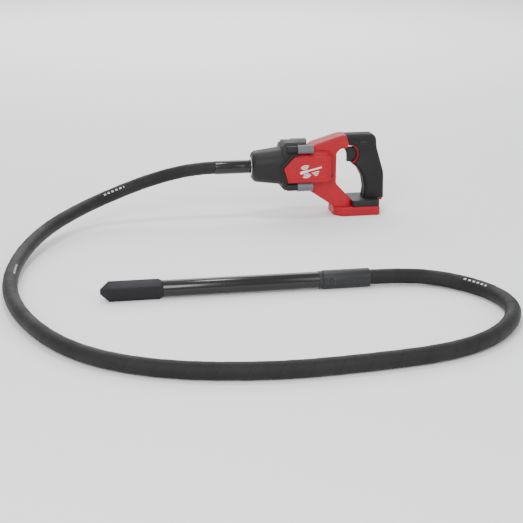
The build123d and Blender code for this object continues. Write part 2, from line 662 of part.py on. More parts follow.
SLEEVE_SEAT = NOSE_BEARING_X - 6
with BuildPart() as adapter:
    for start, end, radius in (
            (HOSE_START, SLEEVE_SEAT, ADAPTER_R),
            (HOSE_START - BARB_LENGTH, HOSE_START, HOSE_BORE / 2)):
        with BuildSketch(Plane.YZ.offset(start)):
            with Locations((0, AXIS_Z)):
                Circle(radius)
        extrude(amount=end - start)
    front_face = adapter.faces().filter_by(Axis.X).sort_by(Axis.X)[1]
    chamfer(front_face.edges().sort_by(SortBy.LENGTH)[-1], length=1)
    with BuildSketch(Plane.YZ.offset(HOSE_START + BARB_LIP)):
        with Locations((0, AXIS_Z)):
            Circle(ADAPTER_BORE)
    extrude(amount=SLEEVE_SEAT - HOSE_START - BARB_LIP, mode=Mode.SUBTRACT)
    with BuildSketch(Plane.YZ.offset(HOSE_START - BARB_LENGTH)):
        with Locations((0, AXIS_Z)):
            Circle(BARB_BORE)
    extrude(amount=BARB_LENGTH + BARB_LIP, mode=Mode.SUBTRACT)
    # a pair of wrench flats and the groove beside them
    for side in (1, -1):
        with BuildSketch(Plane.XZ.offset(side * (ADAPTER_R - FLATS_DEEP))):
            with Locations((FLATS_FRONT + FLATS_LONG / 2, AXIS_Z)):
                Rectangle(FLATS_LONG, 3 * ADAPTER_R)
        extrude(amount=side * 3, mode=Mode.SUBTRACT)
    with BuildSketch(Plane.YZ.offset(FLATS_FRONT + FLATS_LONG + 1.5)):
        with Locations((0, AXIS_Z)):
            Circle(ADAPTER_R)
            Circle(ADAPTER_R - GROOVE_DEEP, mode=Mode.SUBTRACT)
    extrude(amount=GROOVE_WIDE, mode=Mode.SUBTRACT)
save(adapter.part, "adapter_sleeve")

# ---------------------------------------------------------------- flexible shaft
# The route of the hose, from the sleeve round the floor to the head coupler.
FLOOR_Z = HOSE_D / 2 + 0.3
ROUTE = [
    (HOSE_START, 0, AXIS_Z), (-335, 0, AXIS_Z), (-420, 0, 84), (-500, -8, 57), (-560, -50, 43),
    (-625, -140, 32), (-672, -265, 21), (-690, -420, 14), (-660, -580, FLOOR_Z), (-590, -722, FLOOR_Z),
    (-480, -803, FLOOR_Z), (-330, -835, FLOOR_Z), (-195, -828, FLOOR_Z), (-61, -809, FLOOR_Z),
    (29, -755, FLOOR_Z), (89, -664, FLOOR_Z), (87, -580, FLOOR_Z), (42, -507, FLOOR_Z),
    (-25, HEAD_Y, HEAD_Z), (HOSE_END, HEAD_Y, HEAD_Z)]
RADII = corner_radii(ROUTE)
print("hose arcs", [round(radius) for radius in RADII])

hose, hose_length = tube_along(ROUTE, RADII, HOSE_D / 2, HOSE_BORE / 2)
CORE_ROUTE = [(HOSE_START + BARB_LIP, 0, AXIS_Z)] + ROUTE[1:-1] + [(HOSE_END - BARB_LIP, HEAD_Y, HEAD_Z)]
flex_core = tube_along(CORE_ROUTE, corner_radii(CORE_ROUTE), CORE_D / 2)[0]
hose_section = math.pi * (HOSE_D ** 2 - HOSE_BORE ** 2) / 4
print("hose length", round(hose_length, 1))
print("volume ratio", round(hose.volume / (hose_section * hose_length), 5))
save(hose, "hose")
save(flex_core, "flex_core")


def core_fitting(tang_from, tang_to, end, y, z):
    """The hard end of the flexible core: a round ferrule with a square tang on it."""
    with BuildPart() as piece:
        with BuildSketch(Plane.YZ.offset(min(tang_to, end))):
            with Locations((y, z)):
                Circle(FITTING_R)
        extrude(amount=abs(end - tang_to))
        with BuildSketch(Plane.YZ.offset(min(tang_from, tang_to))):
            with Locations((y, z)):
                Rectangle(SQUARE, SQUARE)
        extrude(amount=abs(tang_to - tang_from))
    return piece.part


core_drive_fitting = core_fitting(SPINDLE_FRONT + 16, SPINDLE_FRONT - 2,
                                  HOSE_START + BARB_LIP + END_GAP, 0, AXIS_Z)
save(core_drive_fitting, "core_drive_fitting")

# ---------------------------------------------------------------- poker head
COUPLER_FRONT = HOSE_END - COUPLER_LENGTH
COLLAR_FRONT = COUPLER_FRONT - COLLAR_LENGTH
HEAD_FLATS_X = COUPLER_FRONT + 12

with BuildPart() as coupler:
    for start, end, radius in (
            (COUPLER_FRONT, HOSE_END, COUPLER_R),
            (HOSE_END, HOSE_END + BARB_LENGTH, HOSE_BORE / 2)):
        with BuildSketch(Plane.YZ.offset(start)):
            with Locations((HEAD_Y, HEAD_Z)):
                Circle(radius)
        extrude(amount=end - start)
    back_face = coupler.faces().filter_by(Axis.X).sort_by(Axis.X)[1]
    chamfer(back_face.edges().sort_by(SortBy.LENGTH)[-1], length=1.4)
    with BuildSketch(Plane.YZ.offset(COUPLER_FRONT)):
        with Locations((HEAD_Y, HEAD_Z)):
            Circle(TUBE_BORE)
    extrude(amount=COUPLER_LENGTH - BARB_LIP, mode=Mode.SUBTRACT)
    with BuildSketch(Plane.YZ.offset(HOSE_END - BARB_LIP)):
        with Locations((HEAD_Y, HEAD_Z)):
            Circle(BARB_BORE)
    extrude(amount=BARB_LENGTH + BARB_LIP, mode=Mode.SUBTRACT)
    for side in (1, -1):
        with BuildSketch(Plane.XZ.offset(-HEAD_Y + side * (COUPLER_R - FLATS_DEEP))):
            with Locations((HEAD_FLATS_X, HEAD_Z)):
                Rectangle(FLATS_LONG, 3 * COUPLER_R)
        extrude(amount=side * 3, mode=Mode.SUBTRACT)
save(coupler.part, "head_coupler")

save(turned([(COLLAR_FRONT, COUPLER_FRONT, COLLAR_R)], [(COLLAR_FRONT, COUPLER_FRONT, TUBE_BORE)],
            HEAD_Y, HEAD_Z), "head_collar")
save(turned([(TUBE_END, COLLAR_FRONT, TUBE_R)], [(TUBE_END, COLLAR_FRONT, TUBE_BORE)],
            HEAD_Y, HEAD_Z), "head_tube")

ROLL = math.radians(TIP_ROLL)
TIP_PLANE = Plane(origin=(TUBE_END, HEAD_Y, HEAD_Z), x_dir=(0, math.cos(ROLL), math.sin(ROLL)),
                  z_dir=(-1, 0, 0))
TIP_SQUARE_LENGTH = TUBE_END - TIP_END
with BuildPart() as tip:
    with BuildSketch(TIP_PLANE):
        Circle(TUBE_R - 0.6)
    with BuildSketch(TIP_PLANE.offset(NECK_LENGTH)):
        RectangleRounded(TIP_FLATS, TIP_FLATS, 2.5)
    loft()
    with BuildSketch(TIP_PLANE.offset(NECK_LENGTH)):
        RectangleRounded(TIP_FLATS, TIP_FLATS, 2.5)
    extrude(amount=TIP_SQUARE_LENGTH - NECK_LENGTH)
    with BuildSketch(TIP_PLANE.offset(TIP_SQUARE_LENGTH)):
        RectangleRounded(TIP_FLATS, TIP_FLATS, 2.5)
    with BuildSketch(TIP_PLANE.offset(TIP_SQUARE_LENGTH + TIP_POINT)):
        RectangleRounded(7, 7, 2)
    loft()
    with BuildSketch(TIP_PLANE):
        Circle(TIP_BORE)
    extrude(amount=TIP_SQUARE_LENGTH - 3, mode=Mode.SUBTRACT)
save(tip.part, "head_tip")

HEAD_REAR_X = TUBE_END - 4 - HEAD_BEARING_WIDE
HEAD_FRONT_X = TIP_END + 3.0
TUBE_BEARING_X = COLLAR_FRONT - 8
save(bearing(HEAD_REAR_X, HEAD_BEARING_WIDE, TIP_BORE, SHAFT_R, HEAD_Y, HEAD_Z), "head_rear_bearing")
save(bearing(HEAD_FRONT_X, HEAD_BEARING_WIDE, TIP_BORE, SHAFT_R, HEAD_Y, HEAD_Z), "head_front_bearing")
save(bearing(TUBE_BEARING_X, HEAD_BEARING_WIDE, TUBE_BORE, SHAFT_R, HEAD_Y, HEAD_Z), "tube_bearing")

with BuildPart() as extension:
    with BuildSketch(Plane.YZ.offset(HEAD_FRONT_X + 0.5)):
        with Locations((HEAD_Y, HEAD_Z)):
            Circle(SHAFT_R)
    extrude(amount=COUPLER_FRONT + 20 - HEAD_FRONT_X - 0.5)
    with BuildSketch(Plane.YZ.offset(COUPLER_FRONT + 2)):
        with Locations((HEAD_Y, HEAD_Z)):
            Circle(SHAFT_R + 2)
    extrude(amount=18)
    with BuildSketch(Plane.YZ.offset(COUPLER_FRONT + 2)):
        with Locations((HEAD_Y, HEAD_Z)):
            Rectangle(SQUARE + 0.1, SQUARE + 0.1)
    extrude(amount=18, mode=Mode.SUBTRACT)
save(extension.part, "extension_shaft")
core_head_fitting = core_fitting(COUPLER_FRONT + 3, COUPLER_FRONT + 22,
                                 HOSE_END - BARB_LIP - END_GAP, HEAD_Y, HEAD_Z)
save(core_head_fitting, "core_head_fitting")

with BuildPart() as weight:
    with BuildSketch(Plane.YZ.offset(HEAD_FRONT_X + HEAD_BEARING_WIDE + 2)):
        with Locations((HEAD_Y, HEAD_Z)):
            Circle(WEIGHT_R)
            Circle(SHAFT_R, mode=Mode.SUBTRACT)
            Rectangle(4 * WEIGHT_R, 2 * WEIGHT_R, align=(Align.CENTER, Align.MIN), mode=Mode.SUBTRACT)
    extrude(amount=HEAD_REAR_X - HEAD_FRONT_X - HEAD_BEARING_WIDE - 4)
save(weight.part, "eccentric_weight")

head_seal = turned([(TUBE_END - 2.5, TUBE_END - 0.5, TIP_BORE)],
                   [(TUBE_END - 2.5, TUBE_END - 0.5, SHAFT_R + 0.05)], HEAD_Y, HEAD_Z)
save(head_seal, "head_seal")

# ---------------------------------------------------------------- controls
with BuildPart() as trigger:
    with BuildSketch(Plane.XZ):
        with BuildLine():
            finger = ThreePointArc((TRIGGER_FRONT + 3, TRIGGER_BOTTOM), (TRIGGER_FRONT + 3.4, 121),
                                   (TRIGGER_FRONT - 4, TRIGGER_TOP))
            Polyline(finger @ 1, (TRIGGER_BACK, TRIGGER_TOP), (TRIGGER_BACK, TRIGGER_BOTTOM), finger @ 0)
        make_face()
    extrude(amount=TRIGGER_HALF, both=True)
    finger_edges = trigger.faces().filter_by(GeomType.CYLINDER).edges().filter_by(GeomType.CIRCLE)
    fillet(finger_edges, radius=3)
    with BuildSketch(Plane.YZ.offset(TRIGGER_BACK)):
        with Locations((0, 121)):
            Circle(4)
    extrude(amount=-6, mode=Mode.SUBTRACT)
save(trigger.part, "trigger")

with BuildPart() as switch:
    with BuildSketch(Plane.YZ.offset(SWITCH_FRONT)):
        with Locations((0, 121)):
            RectangleRounded(20, 26, 2)
    extrude(amount=20)
    with BuildSketch(Plane.YZ.offset(SWITCH_FRONT)):
        with Locations((0, 121)):
            Circle(1.6)
    extrude(amount=-1.5)
save(switch.part, "switch_module")


def coil_spring(start, end, direction, radius, wire, turns):
    """A helical compression spring between two points."""
    height = (Vector(*end) - Vector(*start)).length
    with BuildPart() as piece:
        with BuildLine() as path:
            Helix(pitch=(height - 2 * wire) / turns, height=height - 2 * wire, radius=radius,
                  center=Vector(*start) + Vector(*direction) * wire, direction=direction)
        with BuildSketch(Plane(origin=path.line @ 0, z_dir=path.line % 0)):
            Circle(wire / 2)
        sweep()
    return piece.part


trigger_spring = coil_spring((TRIGGER_BACK - 6, 0, 121), (SWITCH_FRONT, 0, 121), (1, 0, 0), 3, 0.8, 5)
save(trigger_spring, "trigger_spring")

BUTTON_OUT = GRIP_HALF + BUTTON_PROUD
BUTTON_INNER = BUTTON_OUT - BUTTON_DEEP
with BuildPart() as button:
    with BuildSketch(Plane.XZ.offset(BUTTON_INNER)):
        with Locations((BUTTON_X, BUTTON_Z)):
            RectangleRounded(BUTTON_LONG, BUTTON_TALL, 1.5)
    extrude(amount=BUTTON_OUT - BUTTON_INNER)
    fillet(button.faces().sort_by(Axis.Y)[0].edges(), radius=0.8)
save(button.part, "lock_button")
lock_spring = coil_spring((BUTTON_X, -BUTTON_INNER, BUTTON_Z), (BUTTON_X, -BRACKET_HALF, BUTTON_Z),
                          (0, 1, 0), 2.2, 0.7, 5)
save(lock_spring, "lock_spring")

# the bracket backs the spring and stands on the switch, clear of the trigger's way
with BuildPart() as bracket:
    with BuildSketch(Plane.XZ):
        with BuildLine():
            Polyline((7, 152), (22, 152), (22, 134), (SWITCH_FRONT + 0.5, 134), (SWITCH_FRONT + 0.5, 136),
                     (7, 136), close=True)
        make_face()
    extrude(amount=BRACKET_HALF, both=True)
save(bracket.part, "switch_bracket")

# ---------------------------------------------------------------- electronics
TRAY = Plane(origin=(-54.5, 0, 46), x_dir=(0.79, 0, -0.61), z_dir=(0, -1, 0))
with BuildPart() as tray:
    with BuildSketch(TRAY):
        Rectangle(36, 12)
        Rectangle(32, 8, mode=Mode.SUBTRACT)
    extrude(amount=ARM_HALF - WALL, both=True)
save(tray.part, "controller_tray")
with BuildPart() as board:
    with BuildSketch(TRAY):
        with Locations((0, 1)):
            Rectangle(32, 1.6)
        with Locations((-11, -1), (0, -1), (11, -1)):
            Rectangle(6, 2.4)
    extrude(amount=13, both=True)
save(board.part, "control_board")

with BuildPart() as block:
    with BuildSketch(Plane.XY):
        RectangleRounded(BLOCK_LENGTH, 2 * BLOCK_HALF, 2)
    extrude(amount=SLOT_DEPTH)
    with BuildSketch(Plane.YZ.offset(BLOCK_LENGTH / 2)):
        with Locations((-6.5, 5), (0, 5), (6.5, 5)):
            Rectangle(3, 7)
    extrude(amount=-24, mode=Mode.SUBTRACT)
save(block.part, "terminal_block")
with BuildPart() as contacts:
    with BuildSketch(Plane.YZ.offset(BLOCK_LENGTH / 2 - 24)):
        with Locations((-6.5, 5), (0, 5), (6.5, 5)):
            Rectangle(0.8, 6)
    extrude(amount=21)
save(contacts.part, "battery_contacts")

with BuildPart() as motor_leads:
    for shift in (-LEAD_SPREAD, 0.0, LEAD_SPREAD):
        with BuildLine() as lead:
            FilletPolyline((LEAD_X - 5, shift, 74.5), (LEAD_X, shift, 74.5), (LEAD_X, shift, 60),
                           radius=3)
        with BuildSketch(Plane(origin=lead.line @ 0, z_dir=lead.line % 0)):
            Circle(WIRE_R)
        sweep()
save(motor_leads.part, "motor_leads")
with BuildPart() as switch_leads:
    for shift in (-4.0, 4.0):
        with BuildLine() as lead:
            FilletPolyline((26, shift, 108), (26, shift, 96), (36, shift, 78), (36, shift, 40), radius=5)
        with BuildSketch(Plane(origin=lead.line @ 0, z_dir=lead.line % 0)):
            Circle(WIRE_R)
        sweep()
save(switch_leads.part, "switch_leads")
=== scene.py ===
import bpy
import json
import math
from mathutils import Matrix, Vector


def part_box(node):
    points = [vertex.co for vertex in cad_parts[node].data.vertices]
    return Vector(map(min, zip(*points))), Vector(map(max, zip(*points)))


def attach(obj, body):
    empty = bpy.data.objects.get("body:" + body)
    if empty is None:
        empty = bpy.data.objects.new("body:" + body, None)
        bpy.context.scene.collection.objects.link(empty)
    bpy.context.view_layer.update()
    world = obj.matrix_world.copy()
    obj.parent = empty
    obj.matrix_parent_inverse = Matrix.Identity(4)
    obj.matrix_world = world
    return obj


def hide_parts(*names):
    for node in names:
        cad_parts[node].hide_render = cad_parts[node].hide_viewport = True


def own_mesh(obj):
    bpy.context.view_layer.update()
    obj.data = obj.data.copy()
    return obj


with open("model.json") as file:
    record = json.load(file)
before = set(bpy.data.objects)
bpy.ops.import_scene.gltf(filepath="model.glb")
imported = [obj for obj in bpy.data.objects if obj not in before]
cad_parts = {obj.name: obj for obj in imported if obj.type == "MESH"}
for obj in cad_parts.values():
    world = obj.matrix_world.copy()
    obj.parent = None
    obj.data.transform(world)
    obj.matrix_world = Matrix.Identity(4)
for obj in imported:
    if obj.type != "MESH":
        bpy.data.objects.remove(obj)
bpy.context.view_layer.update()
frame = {"nodes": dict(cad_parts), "record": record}

# ---------------------------------------------------------------- places worked out from the frame
SLEEVE_LOW, SLEEVE_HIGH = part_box("adapter_sleeve")
PLATE_LOW, PLATE_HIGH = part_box("nameplate_left")
BUTTON_LOW, BUTTON_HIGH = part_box("lock_button")
AXIS_Z = (SLEEVE_LOW[2] + SLEEVE_HIGH[2]) / 2     # height of the motor's own axis


# ---------------------------------------------------------------- camera, floor and light
def place_camera():
    """A camera standing at the tool's front left, looking a little down."""
    bpy.ops.object.camera_add(location=(-0.5924, -2.2574, 0.624),
                              rotation=(math.radians(72.5), 0, math.radians(-10)))
    camera = bpy.context.object
    camera.name = "camera"
    camera.data.sensor_width = 36
    camera.data.lens = 80.12
    camera.data.clip_end = 50
    bpy.context.scene.camera = camera


def area_light(name, place, aim, size, power):
    """A square soft light that looks at a point."""
    bpy.ops.object.light_add(type="AREA", location=place)
    light = bpy.context.object
    light.name = name
    light.data.size = size
    light.data.energy = power
    light.rotation_euler = (Vector(aim) - Vector(place)).to_track_quat("-Z", "Y").to_euler()


def studio():
    """A pale paper floor under an even sky, with four soft lights."""
    bpy.ops.mesh.primitive_plane_add(size=14, location=(-0.3, 2.0, -0.0004))
    floor = bpy.context.object
    floor.name = "floor"
    paper = bpy.data.materials.new("pale_paper")
    paper.use_nodes = True
    shader = paper.node_tree.nodes["Principled BSDF"]
    shader.inputs["Base Color"].default_value = (0.92, 0.92, 0.92, 1)
    shader.inputs["Roughness"].default_value = 0.95
    shader.inputs["Specular IOR Level"].default_value = 0.1
    floor.data.materials.append(paper)
    world = bpy.data.worlds.new("studio")
    world.use_nodes = True
    world.node_tree.nodes["Background"].inputs["Color"].default_value = (0.97, 0.98, 1, 1)
    world.node_tree.nodes["Background"].inputs["Strength"].default_value = 0.85
    bpy.context.scene.world = world
    area_light("key", (-1.2, -2.4, 1.5), (-0.2, -0.3, 0.05), 1.2, 50)
    area_light("fill", (1.7, -2.0, 1.3), (-0.1, -0.2, 0.1), 1.6, 20)
    area_light("overhead", (-0.3, -0.2, 2.2), (-0.3, -0.3, 0), 0.3, 14)
    area_light("back_wash", (0, 3.4, 2.2), (0, 3.2, 0), 4.0, 160)


# ---------------------------------------------------------------- shader node groups
def new_group(name, inputs, outputs):
    tree = bpy.data.node_groups.new(name, "ShaderNodeTree")
    for socket, kind, value in inputs:
        made = tree.interface.new_socket(name=socket, in_out="INPUT", socket_type=kind)
        made.default_value = value
    for socket, kind in outputs:
        tree.interface.new_socket(name=socket, in_out="OUTPUT", socket_type=kind)
    return tree, tree.nodes.new("NodeGroupInput"), tree.nodes.new("NodeGroupOutput")


def link(tree, source, target):
    tree.links.new(source, target)


def math_node(tree, operation, first, second=None, clamp=False):
    node = tree.nodes.new("ShaderNodeMath")
    node.operation = operation
    node.use_clamp = clamp
    for socket, value in zip(node.inputs, (first, second)):
        if value is None:
            continue
        if isinstance(value, (int, float)):
            socket.default_value = value
        else:
            link(tree, value, socket)
    return node.outputs[0]


def noise_node(tree, vector, scale, detail=3.0, roughness=0.55):
    node = tree.nodes.new("ShaderNodeTexNoise")
    node.inputs["Detail"].default_value = detail
    node.inputs["Roughness"].default_value = roughness
    link(tree, vector, node.inputs["Vector"])
    if isinstance(scale, (int, float)):
        node.inputs["Scale"].default_value = scale
    else:
        link(tree, scale, node.inputs["Scale"])
    return node.outputs["Fac"]


def range_node(tree, value, low, high, to_low, to_high):
    node = tree.nodes.new("ShaderNodeMapRange")
    link(tree, value, node.inputs["Value"])
    for name, number in (("From Min", low), ("From Max", high), ("To Min", to_low), ("To Max", to_high)):
        node.inputs[name].default_value = number
    return node.outputs["Result"]


def make_grain_group():
    """Fine surface grain: its height, a slow change of tone and a speckle."""
    tree, given, out = new_group("surface_grain", [("Scale", "NodeSocketFloat", 900.0)],
                                 [("Height", "NodeSocketFloat"), ("Tone", "NodeSocketFloat"),
                                  ("Speckle", "NodeSocketFloat")])
    place = tree.nodes.new("ShaderNodeTexCoord").outputs["Object"]
    fine = noise_node(tree, place, given.outputs["Scale"], 4.0, 0.6)
    coarse_scale = math_node(tree, "MULTIPLY", given.outputs["Scale"], 0.22)
    coarse = noise_node(tree, place, coarse_scale, 2.0)
    height = math_node(tree, "ADD", math_node(tree, "MULTIPLY", fine, 0.7),
                       math_node(tree, "MULTIPLY", coarse, 0.3))
    link(tree, height, out.inputs["Height"])
    link(tree, noise_node(tree, place, 14.0, 4.0, 0.6), out.inputs["Tone"])
    link(tree, range_node(tree, fine, 0.42, 0.62, 0.0, 1.0), out.inputs["Speckle"])
    return tree


def make_wear_group():
    """Where an outer edge is rubbed: one on worn edges, zero elsewhere."""
    tree, given, out = new_group("edge_wear",
                                 [("Radius", "NodeSocketFloat", 0.0012), ("Break", "NodeSocketFloat", 260.0)],
                                 [("Mask", "NodeSocketFloat")])
    rounded = tree.nodes.new("ShaderNodeBevel")
    rounded.samples = 4
    link(tree, given.outputs["Radius"], rounded.inputs["Radius"])
    surface = tree.nodes.new("ShaderNodeNewGeometry")
    facing = tree.nodes.new("ShaderNodeVectorMath")
    facing.operation = "DOT_PRODUCT"
    link(tree, rounded.outputs["Normal"], facing.inputs[0])
    link(tree, surface.outputs["Normal"], facing.inputs[1])
    edge = math_node(tree, "SUBTRACT", 1.0, facing.outputs["Value"])
    edge = range_node(tree, edge, 0.02, 0.16, 0.0, 1.0)
    place = tree.nodes.new("ShaderNodeTexCoord").outputs["Object"]
    spots = noise_node(tree, place, given.outputs["Break"], 4.0, 0.7)
    patches = range_node(tree, spots, 0.42, 0.62, 0.0, 1.0)
    link(tree, math_node(tree, "MULTIPLY", edge, patches, True), out.inputs["Mask"])
    return tree


def make_dust_group():
    """Pale dust that gathers on faces that look up, in patches."""
    tree, given, out = new_group("settled_dust", [("Amount", "NodeSocketFloat", 0.2)],
                                 [("Mask", "NodeSocketFloat")])
    surface = tree.nodes.new("ShaderNodeNewGeometry")
    split = tree.nodes.new("ShaderNodeSeparateXYZ")
    link(tree, surface.outputs["Normal"], split.inputs[0])
    upward = range_node(tree, split.outputs["Z"], 0.2, 1.0, 0.0, 1.0)
    place = tree.nodes.new("ShaderNodeTexCoord").outputs["Object"]
    patches = range_node(tree, noise_node(tree, place, 45.0, 6.0, 0.65), 0.4, 0.75, 0.0, 1.0)
    settled = math_node(tree, "MULTIPLY", upward, patches)
    amount = math_node(tree, "MULTIPLY", settled, given.outputs["Amount"], True)
    link(tree, amount, out.inputs["Mask"])
    return tree


def make_turning_group():
    """Fine rings left by a lathe, running round the X axis."""
    tree, given, out = new_group("turning_marks", [("Rings", "NodeSocketFloat", 2600.0)],
                                 [("Height", "NodeSocketFloat"), ("Streak", "NodeSocketFloat")])
    place = tree.nodes.new("ShaderNodeTexCoord").outputs["Object"]
    stretch = tree.nodes.new("ShaderNodeMapping")
    stretch.inputs["Scale"].default_value = (1.0, 0.02, 0.02)
    link(tree, place, stretch.inputs["Vector"])
    rings = noise_node(tree, stretch.outputs["Vector"], given.outputs["Rings"], 3.0, 0.6)
    link(tree, rings, out.inputs["Height"])
    link(tree, range_node(tree, rings, 0.35, 0.65, 0.0, 1.0), out.inputs["Streak"])
    return tree


GRAIN = make_grain_group()
WEAR = make_wear_group()
DUST = make_dust_group()
TURNING = make_turning_group()


def use_group(tree, group, **values):
    node = tree.nodes.new("ShaderNodeGroup")
    node.node_tree = group
    for name, value in values.items():
        node.inputs[name].default_value = value
    return node


def mix_color(tree, mask, first, second):
    node = tree.nodes.new("ShaderNodeMix")
    node.data_type = "RGBA"
    link(tree, mask, node.inputs["Factor"])
    for socket, value in ((node.inputs[6], first), (node.inputs[7], second)):
        if isinstance(value, tuple):
            socket.default_value = (*value, 1)
        else:
            link(tree, value, socket)
    return node.outputs[2]


def bump_normal(tree, height, depth, strength=1.0):
    node = tree.nodes.new("ShaderNodeBump")
    node.inputs["Strength"].default_value = strength
    node.inputs["Distance"].default_value = depth
    link(tree, height, node.inputs["Height"])
    return node.outputs["Normal"]


def plain_finish(name, color, shade, rough, rougher, grain=900.0, depth=0.00006, worn=None, wear=0.35,
                 dust=0.1, metallic=0.0, coat=0.0, specular=0.5):
    """A moulded or painted finish: toned colour, grain, rubbed edges and a little dust."""
    material = bpy.data.materials.new(name)
    material.use_nodes = True
    tree = material.node_tree
    shader = tree.nodes["Principled BSDF"]
    shader.inputs["Metallic"].default_value = metallic
    shader.inputs["Specular IOR Level"].default_value = specular
    shader.inputs["Coat Weight"].default_value = coat
    shader.inputs["Coat Roughness"].default_value = 0.12
    surface = use_group(tree, GRAIN, Scale=grain)
    base = mix_color(tree, range_node(tree, surface.outputs["Tone"], 0.35, 0.65, 0.0, 1.0), color, shade)
    roughness = range_node(tree, surface.outputs["Tone"], 0.3, 0.7, rough, rougher)
    if worn:
        edge = use_group(tree, WEAR)
        rubbed = math_node(tree, "MULTIPLY", edge.outputs["Mask"], wear)
        base = mix_color(tree, rubbed, base, worn)
    if dust:
        film = use_group(tree, DUST, Amount=dust)
        base = mix_color(tree, film.outputs["Mask"], base, (0.42, 0.40, 0.37))
        dulled = math_node(tree, "MULTIPLY", film.outputs["Mask"], 0.4)
        roughness = math_node(tree, "ADD", roughness, dulled, True)
    link(tree, base, shader.inputs["Base Color"])
    link(tree, roughness, shader.inputs["Roughness"])
    link(tree, bump_normal(tree, surface.outputs["Height"], depth), shader.inputs["Normal"])
    return material


def turned_finish(name, color, shade, rough, rougher, metallic, depth=0.00002, worn=None, wear=0.4, coat=0.0):
    """A turned or ground metal finish, with lathe rings round the X axis."""
    material = bpy.data.materials.new(name)
    material.use_nodes = True
    tree = material.node_tree
    shader = tree.nodes["Principled BSDF"]
    shader.inputs["Metallic"].default_value = metallic
    shader.inputs["Coat Weight"].default_value = coat
    shader.inputs["Coat Roughness"].default_value = 0.08
    rings = use_group(tree, TURNING)
    surface = use_group(tree, GRAIN, Scale=500.0)
    base = mix_color(tree, surface.outputs["Tone"], color, shade)
    if worn:
        edge = use_group(tree, WEAR)
        base = mix_color(tree, math_node(tree, "MULTIPLY", edge.outputs["Mask"], wear), base, worn)
    link(tree, base, shader.inputs["Base Color"])
    streaks = range_node(tree, rings.outputs["Streak"], 0.0, 1.0, rough, rougher)
    smears = range_node(tree, surface.outputs["Tone"], 0.3, 0.7, 0.0, 0.08)
    link(tree, math_node(tree, "ADD", streaks, smears), shader.inputs["Roughness"])
    link(tree, bump_normal(tree, rings.outputs["Height"], depth), shader.inputs["Normal"])
    return material


BARE_STEEL = (0.46, 0.45, 0.44)


